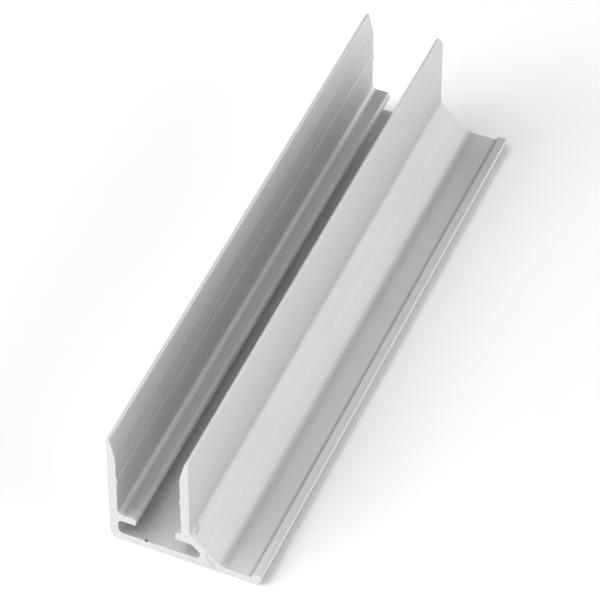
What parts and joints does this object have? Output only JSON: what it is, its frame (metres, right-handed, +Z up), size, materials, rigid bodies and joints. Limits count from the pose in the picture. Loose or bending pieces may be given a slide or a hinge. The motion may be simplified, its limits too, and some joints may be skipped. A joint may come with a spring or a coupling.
{
  "type": "aluminium extrusion profile",
  "caption": "Cut length of aluminium trim extrusion: a two-walled panel channel with inturned lips over an undercut slot, and a sloping web down to a beaded flange.",
  "frame": {"origin": "middle of the footprint, on the flat underside", "axes": "+Y along the extrusion's length, +X across the section from the tall outer wall to the beaded flange, +Z up"},
  "size_m": [0.025, 0.1014, 0.0224],
  "materials": {
    "aluminium": "satin mill finish with fine lengthwise die lines, sawn ends"
  },
  "bodies": {
    "root": {"profile": "aluminium"}
  },
  "joints": []
}
